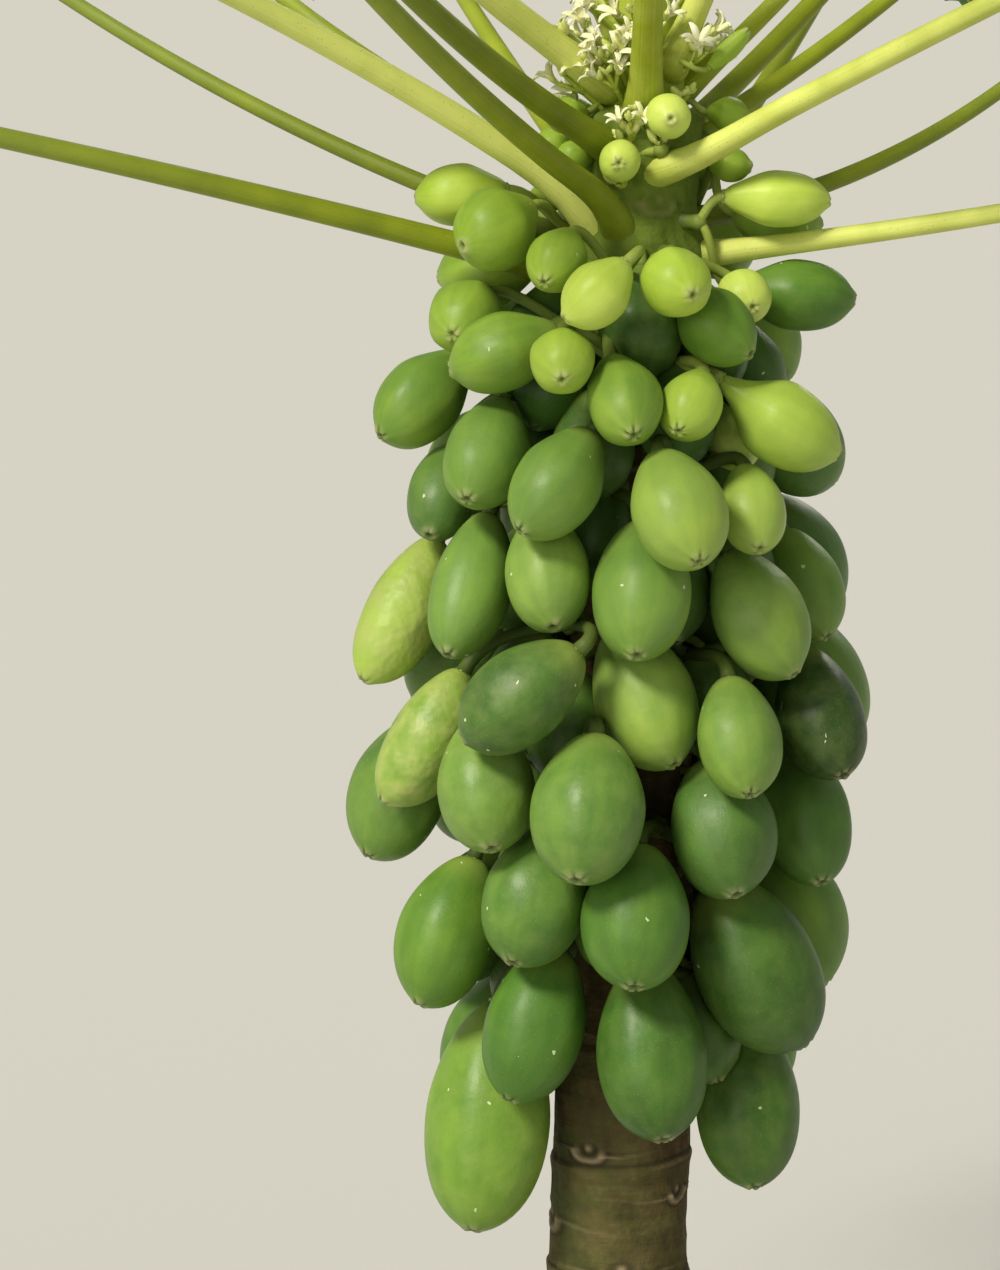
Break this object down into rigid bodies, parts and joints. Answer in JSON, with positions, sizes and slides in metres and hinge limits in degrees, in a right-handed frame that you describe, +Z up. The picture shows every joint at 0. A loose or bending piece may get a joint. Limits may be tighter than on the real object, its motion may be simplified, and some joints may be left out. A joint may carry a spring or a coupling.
{
  "type": "papaya tree",
  "caption": "Fruiting papaya tree: one bare leaning trunk with a root flare, a column of hanging green fruit, and a crown of long-stalked palmate leaves.",
  "frame": {"origin": "centre of the flat cut at the foot of the trunk, at ground level", "axes": "+Z up the trunk, -Y towards the viewer of the picture, +X to that viewer's right"},
  "size_m": [2.4925, 2.0124, 2.2657],
  "materials": {
    "bark": "matt bark with leaf scars",
    "young_growth": "satin young stem, flowers and leaves",
    "leaf": "satin leaf",
    "fruit": "waxy green skin"
  },
  "bodies": {
    "root": {"trunk": "bark", "growing_tip": "young_growth", "leaf_01": "leaf", "leaf_02": "leaf", "leaf_03": "leaf", "leaf_04": "leaf", "leaf_05": "leaf", "leaf_06": "leaf", "leaf_07": "leaf", "leaf_08": "leaf", "leaf_09": "leaf", "leaf_10": "leaf", "leaf_11": "leaf", "leaf_12": "leaf", "leaf_13": "leaf", "leaf_14": "leaf", "leaf_15": "leaf", "leaf_16": "leaf", "leaf_17": "leaf", "leaf_18": "leaf", "leaf_19": "leaf", "leaf_20": "leaf", "fruit_cluster_01": "fruit", "fruit_cluster_02": "fruit", "fruit_cluster_03": "fruit", "fruit_cluster_04": "fruit", "fruit_cluster_05": "fruit", "fruit_cluster_06": "fruit", "fruit_cluster_07": "fruit", "fruit_cluster_08": "fruit", "fruit_cluster_09": "fruit", "fruit_cluster_10": "fruit", "fruit_cluster_11": "fruit", "fruit_cluster_12": "fruit", "fruit_cluster_13": "fruit", "fruit_cluster_14": "fruit", "fruit_cluster_15": "fruit", "fruit_cluster_16": "fruit", "fruit_cluster_17": "fruit", "fruit_cluster_18": "fruit", "fruit_cluster_19": "fruit", "fruit_cluster_20": "fruit", "fruit_cluster_21": "fruit", "fruit_cluster_22": "fruit", "fruit_cluster_23": "fruit", "fruit_cluster_24": "fruit", "fruit_cluster_25": "fruit", "fruit_cluster_26": "fruit", "fruit_cluster_27": "fruit", "fruit_cluster_28": "fruit", "fruit_cluster_29": "fruit", "fruit_cluster_30": "fruit", "fruit_cluster_31": "fruit", "fruit_cluster_32": "fruit", "fruit_cluster_33": "fruit", "fruit_cluster_34": "fruit", "fruit_cluster_35": "fruit", "fruit_cluster_36": "fruit", "fruit_cluster_37": "fruit", "fruit_cluster_38": "fruit"}
  },
  "joints": []
}
